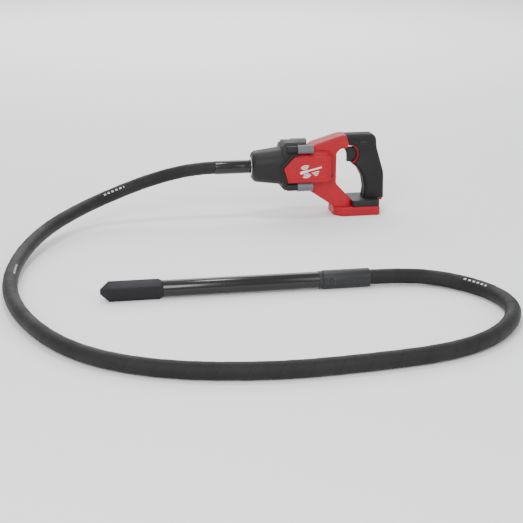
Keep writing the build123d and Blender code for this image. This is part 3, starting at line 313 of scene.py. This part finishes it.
def make_finishes():
    """Every finish, by the slot it belongs to, and the white ink of the signs."""
    return {
        "housing_red": plain_finish("moulded_red", (0.38, 0.0015, 0.012), (0.32, 0.0012, 0.009),
            rough=0.36, rougher=0.48, grain=1300.0, depth=0.00005, worn=(0.50, 0.06, 0.06), dust=0.03,
            specular=0.35),
        "trim_red": plain_finish("trim_red", (0.34, 0.003, 0.012), (0.28, 0.002, 0.009),
            rough=0.35, rougher=0.45, grain=1300.0, depth=0.00004, worn=(0.5, 0.07, 0.1), wear=0.3,
            dust=0.0),
        "plate_red": plain_finish("plate_red", (0.38, 0.0015, 0.010), (0.34, 0.0012, 0.008),
            rough=0.3, rougher=0.4, grain=2200.0, depth=0.00002, dust=0.0, specular=0.35),
        "grip_black": plain_finish("grip_rubber", (0.010, 0.010, 0.0105), (0.007, 0.007, 0.0075),
            rough=0.55, rougher=0.72, grain=700.0, depth=0.00016, worn=(0.05, 0.05, 0.05), wear=0.4,
            dust=0.03, specular=0.3),
        "black_plastic": plain_finish("black_plastic", (0.012, 0.012, 0.0135), (0.009, 0.009, 0.010),
            rough=0.42, rougher=0.56, grain=1200.0, worn=(0.07, 0.07, 0.07), wear=0.4, dust=0.02,
            specular=0.35),
        "nose_charcoal": plain_finish("nose_charcoal", (0.015, 0.0154, 0.015), (0.012, 0.0124, 0.012),
            rough=0.44, rougher=0.58, grain=1000.0, depth=0.00008, worn=(0.10, 0.10, 0.095), wear=0.45,
            dust=0.02, specular=0.25),
        "clamp_grey": plain_finish("clamp_grey", (0.13, 0.14, 0.15), (0.10, 0.11, 0.12),
            rough=0.36, rougher=0.5, grain=1500.0, depth=0.00005, worn=(0.34, 0.34, 0.34), wear=0.5,
            dust=0.03, metallic=0.3),
        "gloss_black": turned_finish("gloss_black", (0.005, 0.0046, 0.0045), (0.009, 0.0084, 0.008),
            rough=0.13, rougher=0.22, metallic=0.0, depth=0.000003, worn=(0.12, 0.115, 0.11), wear=0.5),
        "head_satin": plain_finish("head_satin", (0.024, 0.022, 0.025), (0.019, 0.0175, 0.020),
            rough=0.50, rougher=0.64, grain=800.0, worn=(0.14, 0.135, 0.14), wear=0.6, dust=0.015,
            specular=0.12),
        "coupler_satin": turned_finish("coupler_satin", (0.020, 0.0205, 0.0215), (0.015, 0.0155, 0.0165),
            rough=0.34, rougher=0.5, metallic=0.3, depth=0.00001, worn=BARE_STEEL, wear=0.5),
        "steel": turned_finish("turned_steel", (0.52, 0.52, 0.53), (0.44, 0.44, 0.45),
            rough=0.22, rougher=0.38, metallic=1.0),
        "bright_ring": turned_finish("bright_ring", (0.66, 0.66, 0.68), (0.58, 0.58, 0.60),
            rough=0.14, rougher=0.26, metallic=1.0),
        "screw_steel": turned_finish("blackened_steel", (0.05, 0.05, 0.052), (0.035, 0.035, 0.037),
            rough=0.32, rougher=0.5, metallic=0.8, worn=BARE_STEEL, wear=0.5),
        "lamination": turned_finish("stacked_sheet", (0.34, 0.33, 0.32), (0.25, 0.24, 0.23),
            rough=0.35, rougher=0.55, metallic=0.9, depth=0.00008),
        "copper": plain_finish("enamelled_copper", (0.56, 0.20, 0.07), (0.42, 0.13, 0.045),
            rough=0.25, rougher=0.4, depth=0.0002, dust=0.0, metallic=0.8),
        "aluminium": plain_finish("cast_aluminium", (0.60, 0.60, 0.61), (0.52, 0.52, 0.53),
            rough=0.35, rougher=0.55, depth=0.0001, dust=0.0, metallic=1.0),
        "board_green": plain_finish("circuit_board", (0.015, 0.12, 0.05), (0.012, 0.09, 0.04),
            rough=0.25, rougher=0.4, grain=1600.0, depth=0.00004, dust=0.0),
        "nylon_white": plain_finish("moulded_nylon", (0.52, 0.52, 0.49), (0.46, 0.46, 0.43),
            rough=0.4, rougher=0.55, dust=0.0),
        "wire": plain_finish("wire_cover", (0.42, 0.02, 0.02), (0.36, 0.015, 0.015),
            rough=0.3, rougher=0.4, dust=0.0),
        "seal": plain_finish("seal_rubber", (0.022, 0.022, 0.022), (0.016, 0.016, 0.016),
            rough=0.6, rougher=0.75, dust=0.0),
        "contact_brass": turned_finish("plated_contact", (0.72, 0.55, 0.22), (0.62, 0.45, 0.17),
            rough=0.2, rougher=0.35, metallic=1.0),
        "white_ink": plain_finish("white_ink", (0.78, 0.78, 0.77), (0.70, 0.70, 0.69),
            rough=0.4, rougher=0.5, grain=1500.0, depth=0.00003, dust=0.0),
    }


def make_hose_finish():
    """Rubber hose with a fabric wrap: slanted laps, weave, a painted shade line along each lap edge and a few
    printed white dashes.

    The piece's UV map holds the turn round the hose in x and the metres along it in y.
    """
    material = bpy.data.materials.new("wrapped_hose")
    material.use_nodes = True
    tree = material.node_tree
    shader = tree.nodes["Principled BSDF"]
    shader.inputs["Specular IOR Level"].default_value = 0.25
    split = tree.nodes.new("ShaderNodeSeparateXYZ")
    link(tree, tree.nodes.new("ShaderNodeUVMap").outputs["UV"], split.inputs[0])
    turn, along = split.outputs["X"], split.outputs["Y"]
    surface = use_group(tree, GRAIN, Scale=700.0)
    # warp and weft of the wrap, slanted one way and the other
    threads = math_node(tree, "MULTIPLY", along, THREADS_ALONG)
    slant = math_node(tree, "MULTIPLY", turn, THREADS_ROUND)
    lap = math_node(tree, "ADD", threads, slant)
    cross = math_node(tree, "SUBTRACT", threads, slant)
    warp = math_node(tree, "SINE", math_node(tree, "MULTIPLY", lap, 2 * math.pi))
    weft = math_node(tree, "SINE", math_node(tree, "MULTIPLY", cross, 2 * math.pi))
    weave = math_node(tree, "MULTIPLY", warp, weft)
    height = math_node(tree, "ADD", math_node(tree, "MULTIPLY", weave, 0.4), surface.outputs["Height"])
    # painted shade: the edge of each wrap gets a darker slanted line, standing in for the shade in the crease
    # at the step between laps
    wraps = math_node(tree, "MULTIPLY", along, 1 / WRAP_PITCH)
    wrap = math_node(tree, "FRACT", math_node(tree, "ADD", wraps, turn))
    seam = range_node(tree, wrap, 0.0, 0.05, 1.0, 0.0)
    tone = range_node(tree, surface.outputs["Tone"], 0.35, 0.65, 0.0, 1.0)
    base = mix_color(tree, tone, (0.0125, 0.0125, 0.0122), (0.009, 0.009, 0.0088))
    # mixes the painted shade line in along each lap edge
    base = mix_color(tree, math_node(tree, "MULTIPLY", seam, 0.7), base, (0.003, 0.003, 0.003))
    scuffs = range_node(tree, surface.outputs["Speckle"], 0.75, 1.0, 0.0, 0.10)
    base = mix_color(tree, scuffs, base, (0.07, 0.07, 0.068))
    # the print: one row of short white dashes, repeated along the hose
    stretch = math_node(tree, "FRACT", math_node(tree, "MULTIPLY", along, 1 / PRINT_PITCH))
    off_middle = math_node(tree, "ABSOLUTE", math_node(tree, "SUBTRACT", stretch, 0.5))
    in_print = math_node(tree, "LESS_THAN", off_middle, PRINT_SHARE / 2)
    dashes = math_node(tree, "FRACT", math_node(tree, "MULTIPLY", along, DASHES_ALONG))
    dash = math_node(tree, "LESS_THAN", dashes, DASH_SHARE)
    off_row = math_node(tree, "ABSOLUTE", math_node(tree, "SUBTRACT", turn, PRINT_TURN))
    row = math_node(tree, "LESS_THAN", off_row, PRINT_HALF)
    ink = math_node(tree, "MULTIPLY", math_node(tree, "MULTIPLY", in_print, dash), row)
    worn_ink = range_node(tree, surface.outputs["Height"], 0.38, 0.5, 0.3, 0.9)
    base = mix_color(tree, math_node(tree, "MULTIPLY", ink, worn_ink), base, (0.62, 0.62, 0.60))
    link(tree, base, shader.inputs["Base Color"])
    link(tree, range_node(tree, surface.outputs["Tone"], 0.3, 0.7, 0.5, 0.66), shader.inputs["Roughness"])
    link(tree, bump_normal(tree, height, 0.00022, 0.8), shader.inputs["Normal"])
    return material


# ---------------------------------------------------------------- modelling helpers
def clear_selection():
    bpy.ops.object.select_all(action="DESELECT")


def make_active(piece):
    clear_selection()
    piece.select_set(True)
    bpy.context.view_layer.objects.active = piece


def apply_modifiers(piece):
    make_active(piece)
    for modifier in list(piece.modifiers):
        bpy.ops.object.modifier_apply(modifier=modifier.name)


def settle(piece, name, angle=35):
    """Puts the piece's place into its mesh and shades it smooth up to the given angle."""
    make_active(piece)
    bpy.ops.object.transform_apply(location=True, rotation=True, scale=True)
    bpy.ops.object.shade_smooth_by_angle(angle=math.radians(angle))
    piece.name = name
    return piece


def bevel_edges(piece, width, segments=2, angle=30):
    bevel = piece.modifiers.new("rounded_edges", "BEVEL")
    bevel.width = width
    bevel.segments = segments
    bevel.limit_method = "ANGLE"
    bevel.angle_limit = math.radians(angle)
    bevel.harden_normals = False
    apply_modifiers(piece)


def dress(piece, finish, body="root"):
    """Puts a finish on a piece and rides it on a body."""
    piece.data.materials.clear()
    piece.data.materials.append(finish)
    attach(piece, body)


def softened_copy(node, name, width, segments=2, angle=35):
    """A working copy of a CAD node, merged into clean faces, with its edges rounded over."""
    mesh = frame["nodes"][node].data.copy()
    piece = bpy.data.objects.new(name, mesh)
    bpy.context.scene.collection.objects.link(piece)
    make_active(piece)
    bpy.ops.object.mode_set(mode="EDIT")
    bpy.ops.mesh.select_all(action="SELECT")
    bpy.ops.mesh.remove_doubles(threshold=0.000002)
    bpy.ops.mesh.dissolve_limited(angle_limit=math.radians(0.6))
    bpy.ops.object.mode_set(mode="OBJECT")
    if width:
        bevel_edges(piece, width, segments, angle)
    make_active(piece)
    bpy.ops.object.shade_smooth_by_angle(angle=math.radians(angle))
    piece.name = name
    return piece


def on_plane(across, up, out, lying):
    """A place from its two outline numbers and its distance from the drawing plane."""
    return (across, up, out) if lying else (across, out, up)


def outline_face(points, start, lying=False):
    """A flat face drawn point by point, upright (XZ) or lying (XY); it is left selected in edit mode."""
    bpy.ops.mesh.primitive_plane_add(size=0.001, location=on_plane(*points[0], start, lying))
    piece = bpy.context.object
    bpy.ops.object.mode_set(mode="EDIT")
    bpy.ops.mesh.select_all(action="SELECT")
    bpy.ops.mesh.merge(type="CENTER")
    for before, after in zip(points, points[1:]):
        step = on_plane(after[0] - before[0], after[1] - before[1], 0, lying)
        bpy.ops.mesh.extrude_vertices_move(TRANSFORM_OT_translate={"value": step})
    bpy.ops.mesh.select_all(action="SELECT")
    bpy.ops.mesh.edge_face_add()
    return piece


def pull_out(piece, name, depth, width, segments, lying=False):
    """Gives the flat face of a piece in edit mode its depth and rounds its edges over."""
    bpy.ops.mesh.select_all(action="SELECT")
    bpy.ops.mesh.extrude_region_move(TRANSFORM_OT_translate={"value": on_plane(0, 0, depth, lying)})
    bpy.ops.mesh.select_all(action="SELECT")
    bpy.ops.mesh.normals_make_consistent(inside=False)
    bpy.ops.object.mode_set(mode="OBJECT")
    settle(piece, name)
    if width:
        bevel_edges(piece, width, segments)
        settle(piece, name)
    return piece


def outline_plate(name, points, start, end, width, segments=3, lying=False):
    """A plate with the given outline, between two places along Y, or along Z if it lies flat."""
    return pull_out(outline_face(points, start, lying), name, end - start, width, segments, lying)


def outline_frame(name, points, start, end, rim, width):
    """An open frame with the given outline and rim, between two places along Y."""
    piece = outline_face(points, start)
    bpy.ops.mesh.inset(thickness=rim)
    bpy.ops.mesh.delete(type="FACE")
    return pull_out(piece, name, end - start, width, 2)


def spun_ring(name, x, y, z, inner, outer, wide, width=0.0, steps=64):
    """A ring round an X-wise axis: a small square drawn beside the axis and spun a full turn."""
    bpy.ops.mesh.primitive_plane_add(size=1, location=(x + wide / 2, y, z + (inner + outer) / 2),
                                     rotation=(math.radians(90), 0, 0))
    piece = bpy.context.object
    piece.scale = (wide, outer - inner, 1)
    make_active(piece)
    bpy.ops.object.transform_apply(location=True, rotation=True, scale=True)
    bpy.ops.object.mode_set(mode="EDIT")
    bpy.ops.mesh.select_all(action="SELECT")
    bpy.ops.mesh.delete(type="ONLY_FACE")
    bpy.ops.mesh.select_all(action="SELECT")
    bpy.ops.mesh.spin(steps=steps, angle=2 * math.pi, center=(x, y, z), axis=(1, 0, 0))
    bpy.ops.mesh.select_all(action="SELECT")
    bpy.ops.mesh.remove_doubles(threshold=0.000005)
    bpy.ops.mesh.normals_make_consistent(inside=False)
    bpy.ops.object.mode_set(mode="OBJECT")
    if width:
        bevel_edges(piece, width, 2, 50)
    return settle(piece, name)


def shaped_block(name, low, high, width, segments=3):
    """A block between two corners, its edges rounded over."""
    middle = [(a + b) / 2 for a, b in zip(low, high)]
    bpy.ops.mesh.primitive_cube_add(size=1, location=middle)
    piece = bpy.context.object
    piece.scale = [b - a for a, b in zip(low, high)]
    make_active(piece)
    bpy.ops.object.transform_apply(location=True, rotation=True, scale=True)
    bevel_edges(piece, width, segments)
    return settle(piece, name)


def join_all(pieces, name):
    clear_selection()
    for piece in pieces:
        piece.select_set(True)
    bpy.context.view_layer.objects.active = pieces[0]
    bpy.ops.object.join()
    pieces[0].name = name
    return pieces[0]


def arc_points(centre, inner, outer, start, end, steps=10):
    """The outline of a curved stroke in the XZ plane, angles in degrees."""
    angles = [math.radians(start + (end - start) * step / steps) for step in range(steps + 1)]
    outside = [(centre[0] + outer * math.cos(a), centre[1] + outer * math.sin(a)) for a in angles]
    inside = [(centre[0] + inner * math.cos(a), centre[1] + inner * math.sin(a)) for a in reversed(angles)]
    return outside + inside


def turned_points(points, centre, angle):
    """The same outline turned about a centre, by an angle in degrees."""
    cos, sin = math.cos(math.radians(angle)), math.sin(math.radians(angle))
    return [(centre[0] + x * cos - z * sin, centre[1] + x * sin + z * cos) for x, z in points]


# ---------------------------------------------------------------- hose
HOSE_ROUTE = [
    (-0.290, 0, 0.103), (-0.335, 0, 0.103), (-0.420, 0, 0.084), (-0.500, -0.008, 0.057),
    (-0.560, -0.050, 0.043), (-0.625, -0.140, 0.032), (-0.672, -0.265, 0.021), (-0.690, -0.420, 0.014),
    (-0.660, -0.580, 0.013), (-0.590, -0.722, 0.013), (-0.480, -0.803, 0.013), (-0.330, -0.835, 0.013),
    (-0.195, -0.828, 0.013), (-0.061, -0.809, 0.013), (0.029, -0.755, 0.013), (0.089, -0.664, 0.013),
    (0.087, -0.580, 0.013), (0.042, -0.507, 0.013), (-0.025, -0.472, 0.0155), (-0.095, -0.472, 0.0155)]
WRAP_PITCH = 0.042          # metres along the hose for one turn of the fabric wrap
WRAP_LIFT = 0.00035         # how far the edge of a wrap stands up
THREADS_ALONG = 620.0       # weave of the wrap: threads in a metre along the hose
THREADS_ROUND = 22.0        # and threads round it
PRINT_PITCH = 0.42          # metres from one printed stretch to the next
PRINT_SHARE = 0.12          # the part of that pitch which is printed
PRINT_TURN = 0.62           # where the print runs, in turns round the hose
PRINT_HALF = 0.022          # half its height, in turns
DASHES_ALONG = 110.0        # dashes in a metre of print
DASH_SHARE = 0.55           # the inked part of each
HOSE_DIAMETER = 0.0254
HOSE_SKIN = 0.0002          # how far the middle of a lap lies inside the full diameter
HOSE_SIDES = 48
HOSE_RING_STEP = 0.003
PLAIN_RINGS = 6             # over how many rings the laps fade out at each end


def hose_line():
    """The hose's own smooth line: a NURBS spline with the route as its control points, read back."""
    curve = bpy.data.curves.new("hose_line", "CURVE")
    curve.dimensions = "3D"
    spline = curve.splines.new("NURBS")
    spline.points.add(len(HOSE_ROUTE) - 1)
    for point, place in zip(spline.points, HOSE_ROUTE):
        point.co = (*place, 1)
    spline.order_u = 3
    spline.use_endpoint_u = True
    curve.resolution_u = 40
    holder = bpy.data.objects.new("hose_line", curve)
    bpy.context.scene.collection.objects.link(holder)
    bpy.context.view_layer.update()
    line = bpy.data.meshes.new_from_object(holder)
    points = [vertex.co.copy() for vertex in line.vertices]
    bpy.data.objects.remove(holder)
    bpy.data.meshes.remove(line)
    return points


def evenly(points, step):
    """The same line with evenly spaced points, about a step apart, and its length."""
    lengths = [0.0]
    for before, after in zip(points, points[1:]):
        lengths.append(lengths[-1] + (after - before).length)
    count = round(lengths[-1] / step)
    result = []
    leg = 0
    for index in range(count + 1):
        wanted = lengths[-1] * index / count
        while leg < len(points) - 2 and lengths[leg + 1] < wanted:
            leg += 1
        share = (wanted - lengths[leg]) / (lengths[leg + 1] - lengths[leg])
        result.append(points[leg].lerp(points[leg + 1], share))
    return result, lengths[-1]


def make_hose(finish):
    """The hose as a mesh tube with real slanted laps of fabric wrap along it."""
    path, length = evenly(hose_line(), HOSE_RING_STEP)
    vertices, faces, uvs = [], [], []
    side = Vector((0, 1, 0))
    for index, point in enumerate(path):
        ahead = (path[min(index + 1, len(path) - 1)] - path[max(index - 1, 0)]).normalized()
        side = (side - ahead * side.dot(ahead)).normalized()
        up = ahead.cross(side)
        along = length * index / (len(path) - 1)
        for step in range(HOSE_SIDES):
            turn = step / HOSE_SIDES
            lap = (along / WRAP_PITCH + turn) % 1.0
            lift = WRAP_LIFT * (0.5 - lap)
            soft_ends = min(1.0, index / PLAIN_RINGS, (len(path) - 1 - index) / PLAIN_RINGS)
            radius = HOSE_DIAMETER / 2 - HOSE_SKIN + lift * soft_ends
            angle = 2 * math.pi * turn
            vertices.append(point + side * math.cos(angle) * radius + up * math.sin(angle) * radius)
    for ring in range(len(path) - 1):
        for step in range(HOSE_SIDES):
            after = (step + 1) % HOSE_SIDES
            low, high = ring * HOSE_SIDES, (ring + 1) * HOSE_SIDES
            faces.append((low + step, low + after, high + after, high + step))
            near, far = length * ring / (len(path) - 1), length * (ring + 1) / (len(path) - 1)
            uvs.extend([(step / HOSE_SIDES, near), ((step + 1) / HOSE_SIDES, near),
                        ((step + 1) / HOSE_SIDES, far), (step / HOSE_SIDES, far)])
    faces.append(tuple(reversed(range(HOSE_SIDES))))
    faces.append(tuple(range((len(path) - 1) * HOSE_SIDES, len(path) * HOSE_SIDES)))
    uvs.extend([(0, 0)] * HOSE_SIDES + [(0, length)] * HOSE_SIDES)
    mesh = bpy.data.meshes.new("rubber_hose")
    mesh.from_pydata(vertices, [], faces)
    layer = mesh.uv_layers.new(name="along_hose")
    for loop, uv in zip(layer.data, uvs):
        loop.uv = uv
    piece = bpy.data.objects.new("rubber_hose", mesh)
    bpy.context.scene.collection.objects.link(piece)
    make_active(piece)
    bpy.ops.object.mode_set(mode="EDIT")
    bpy.ops.mesh.select_all(action="SELECT")
    bpy.ops.mesh.normals_make_consistent(inside=False)
    bpy.ops.object.mode_set(mode="OBJECT")
    bpy.ops.object.shade_smooth_by_angle(angle=math.radians(50))
    dress(piece, finish)
    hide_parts("hose")


# ---------------------------------------------------------------- body details
PANEL_OUT = 0.041               # outer face of the red side panels
PLATE_FACE = -PLATE_LOW[1]      # outer face of the nameplates
SIGN_SINK = 0.0003              # how far a sign is set into its plate
SIGN_PROUD = 0.00012            # and how far it stands out of it
PANEL_EDGE = [(-0.1515, 0.1035), (-0.1325, 0.1245), (-0.0640, 0.1245), (-0.0625, 0.1230), (-0.0625, 0.0785),
              (-0.0640, 0.0770), (-0.1447, 0.0770)]
PLATE_MIDDLE = ((PLATE_LOW[0] + PLATE_HIGH[0]) / 2, (PLATE_LOW[2] + PLATE_HIGH[2]) / 2)
RIB_HALF = 0.0055               # half the width of a trigger rib, and its height
RIB_TALL = 0.0012
BOLTS = [(y, z) for y in (-0.035, 0.035) for z in (0.1413, 0.0647)]     # the four clamp screws


def make_panel_rims():
    """A fine raised rim round each five-sided side panel."""
    for side, tag in ((-1, "left"), (1, "right")):
        inner, outer = side * (PANEL_OUT - 0.001), side * (PANEL_OUT + 0.0006)
        rim = outline_frame("panel_rim_" + tag, PANEL_EDGE, inner, outer, rim=0.0016, width=0.0003)
        dress(rim, FINISHES["housing_red"])


def make_pictograms():
    """A plain sign on each nameplate: a poker on the slant, with curved strokes that show it shaking."""
    head = (PLATE_MIDDLE[0] - 0.0135, PLATE_MIDDLE[1] - 0.003)
    slant = 14
    for side, tag in ((-1, "left"), (1, "right")):
        face = side * PLATE_FACE
        poker = [(-0.0125, -0.0004), (-0.0110, 0.0026), (0.0035, 0.0026), (0.0035, 0.0014), (0.0330, 0.0014),
                 (0.0330, -0.0014), (0.0035, -0.0014), (0.0035, -0.0026), (-0.0110, -0.0026)]
        inner, outer = face - side * SIGN_SINK, face + side * SIGN_PROUD
        pieces = [outline_plate("poker", turned_points(poker, head, slant), inner, outer, 0)]
        for radius in (0.0062, 0.0092, 0.0122):
            for start in (62, 242):
                stroke = arc_points(head, radius - 0.0008, radius + 0.0008, start, start + 84)
                pieces.append(outline_plate("stroke", stroke, inner, outer, 0))
        for step in range(3):
            start = 0.0110 + step * 0.003
            end = start + 0.0150 - step * 0.0045
            dash = [(start, -0.0085), (end, -0.0085), (end, -0.0070), (start, -0.0070)]
            place = (head[0], head[1] - step * 0.0032 + 0.0012)
            pieces.append(outline_plate("dash", turned_points(dash, place, slant), inner, outer, 0))
        sign = join_all(pieces, "shaking_sign_" + tag)
        dress(settle(sign, sign.name), FINISHES["white_ink"])


def make_tip_surrounds():
    """Raised charcoal lips on the flange that follow the pointed front of each side panel."""
    for side, tag in ((-1, "left"), (1, "right")):
        lip = [(-0.1395, 0.1310), (-0.1622, 0.1060), (-0.1525, 0.0745), (-0.1490, 0.0745), (-0.1582, 0.1050),
               (-0.1370, 0.1285)]
        surround = outline_plate("panel_surround_" + tag, lip, side * 0.034, side * 0.0402, 0.0006)
        dress(surround, FINISHES["nose_charcoal"])


def make_nose_seams():
    """Raised moulding seams along both sides and along the top of the nose."""
    back, front = -0.1585, -0.2030
    outline = [(front, 0.0300), (front, 0.0314), (back, 0.0367), (back, 0.0340)]
    low, high = AXIS_Z + 0.0072, AXIS_Z + 0.0080
    pieces = []
    for side in (-1, 1):
        seam = [(x, side * out) for x, out in outline]
        pieces.append(outline_plate("seam", seam, low, high, 0.0002, 2, lying=True))
    crown = [(front, 0.0300), (front, 0.0313), (back, 0.0366), (back, 0.0340)]
    crown = [(x, AXIS_Z + out) for x, out in crown]
    pieces.append(outline_plate("seam", crown, -0.0004, 0.0004, 0.0002, 2))
    seams = join_all(pieces, "nose_seams")
    dress(settle(seams, "nose_seams"), FINISHES["nose_charcoal"])


def make_sleeve_bands():
    """Rolled bands, fine lines and end washers on the four grey clamp sleeves."""
    pieces = []
    for y, z in BOLTS:
        for x in (-0.1268, -0.1010):
            pieces.append(spun_ring("band", x, y, z, 0.0080, 0.0091, 0.0022, 0.0003))
        pieces.append(spun_ring("washer", -0.0972, y, z, 0.0030, 0.0066, 0.0012, 0.0003))
        for x in (-0.1215, -0.1185, -0.1155):
            pieces.append(spun_ring("line", x, y, z, 0.0080, 0.00885, 0.0006, 0.0))
    bands = join_all(pieces, "sleeve_bands")
    dress(settle(bands, "sleeve_bands"), FINISHES["clamp_grey"])


def make_trigger_ribs():
    """Shallow ribs across the trigger's finger face."""
    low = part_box("trigger")[0]
    pieces = []
    middle_z, half_tall = 0.121, 0.014      # middle and half height of the finger face
    for step in range(5):
        z = low[2] + 0.0065 + step * 0.0035
        share = (z - middle_z) / half_tall
        front = -0.0188 - 0.004 * max(0.0, share) * share ** 2
        low_corner = (front - 0.0004, -RIB_HALF, z)
        high_corner = (front + 0.003, RIB_HALF, z + RIB_TALL)
        pieces.append(shaped_block("rib", low_corner, high_corner, 0.0003))
    ribs = join_all(pieces, "trigger_ribs")
    dress(settle(ribs, "trigger_ribs"), FINISHES["black_plastic"], "trigger")


def make_grip_marks():
    """A guard round the lock button and the pointer in front of it, on the near side of the grip."""
    middle = ((BUTTON_LOW[0] + BUTTON_HIGH[0]) / 2, (BUTTON_LOW[2] + BUTTON_HIGH[2]) / 2)
    half_long, half_tall = 0.0098, 0.0056
    corners = [(-half_long, -half_tall), (-half_long, half_tall), (half_long, half_tall),
               (half_long, -half_tall)]
    corners = [(middle[0] + x, middle[1] + z) for x, z in corners]
    guard = outline_frame("button_guard", corners, -0.0180, -0.0190, rim=0.0013, width=0.0003)
    arrow = [(-0.0165, -0.0005), (-0.0125, 0.002), (-0.0125, -0.003)]
    arrow = [(middle[0] + x, middle[1] + z) for x, z in arrow]
    pointer = outline_plate("pointer", arrow, -0.0182, -0.0188, 0)
    marks = join_all([guard, pointer], "button_guard")
    dress(settle(marks, "button_guard"), FINISHES["black_plastic"])


def make_foot_lines():
    """The rail line along each side of the foot and the latch marks on the dark strip."""
    pieces = []
    for side in (-1, 1):
        pieces.append(shaped_block("rail_line", (-0.026, side * 0.0379 - 0.0006, 0.0062),
                                   (0.034, side * 0.0379 + 0.0006, 0.0072), 0.0002))
    lines = join_all(pieces, "foot_lines")
    dress(settle(lines, "foot_lines"), FINISHES["trim_red"])
    latch = [(0.030, 0.0215), (0.0335, 0.0275), (0.0355, 0.0275), (0.032, 0.0215)]
    marks = [outline_plate("latch", latch, side * 0.0350, side * 0.0364, 0.0002) for side in (-1, 1)]
    marks = join_all(marks, "latch_marks")
    dress(settle(marks, "latch_marks"), FINISHES["nose_charcoal"])


# ---------------------------------------------------------------- build
place_camera()
studio()
FINISHES = make_finishes()
SLOTS = {entry["node"]: entry["material_slot"] for entry in frame["record"]["subparts"]}
for node_name, cad_node in frame["nodes"].items():
    cad_node.data.materials.clear()
    # the hose's own finish needs the UV map of its new piece, so its CAD node takes plain rubber
    cad_node.data.materials.append(FINISHES.get(SLOTS[node_name], FINISHES["seal"]))


def finish_copy(node, edge):
    """A CAD node's own shape with its edges rounded over and its finish put on, in place of the node."""
    shaped = softened_copy(node, node + "_finished", edge)
    dress(shaped, FINISHES[SLOTS[node]], BODY_OF.get(node, "root"))
    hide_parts(node)
    return shaped


BODY_OF = {"trigger": "trigger", "lock_button": "lock_button"}
HEAD_EDGES = {"head_coupler": 0.0004, "head_collar": 0.0003, "head_tube": 0.0002, "head_tip": 0.0006}
TOOL_EDGES = {
    "housing_left": 0.0006, "housing_right": 0.0006, "grip_left": 0.0005, "grip_right": 0.0005,
    "nose_housing": 0.0008, "foot_bumper": 0.0006, "trigger": 0.0007, "clamp_sleeves": 0.0005,
    "trigger_trim": 0.0003, "lock_button": 0.0003, "adapter_sleeve": 0.0004, "nose_ring": 0.0004,
}
# node, joint, the way it shortens (0 is along X, 1 along Y) and the joint's travel
SPRINGS = (("trigger_spring", "trigger_pull", 0, 0.006), ("lock_spring", "lock_push", 1, 0.003))


def make_springs():
    """Springs: each CAD spring node is copied without rounding, takes its finish and gets a mesh of its own.
    """
    for node, joint, along, travel in SPRINGS:
        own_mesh(finish_copy(node, 0))


head_pieces = [finish_copy(node, edge) for node, edge in HEAD_EDGES.items()]
make_hose(make_hose_finish())      # the coupler is the one that lies on the hose
for tool_node, tool_edge in TOOL_EDGES.items():
    finish_copy(tool_node, tool_edge)
make_springs()
make_panel_rims()
make_pictograms()
make_tip_surrounds()
make_nose_seams()
make_sleeve_bands()
make_trigger_ribs()
make_grip_marks()
make_foot_lines()
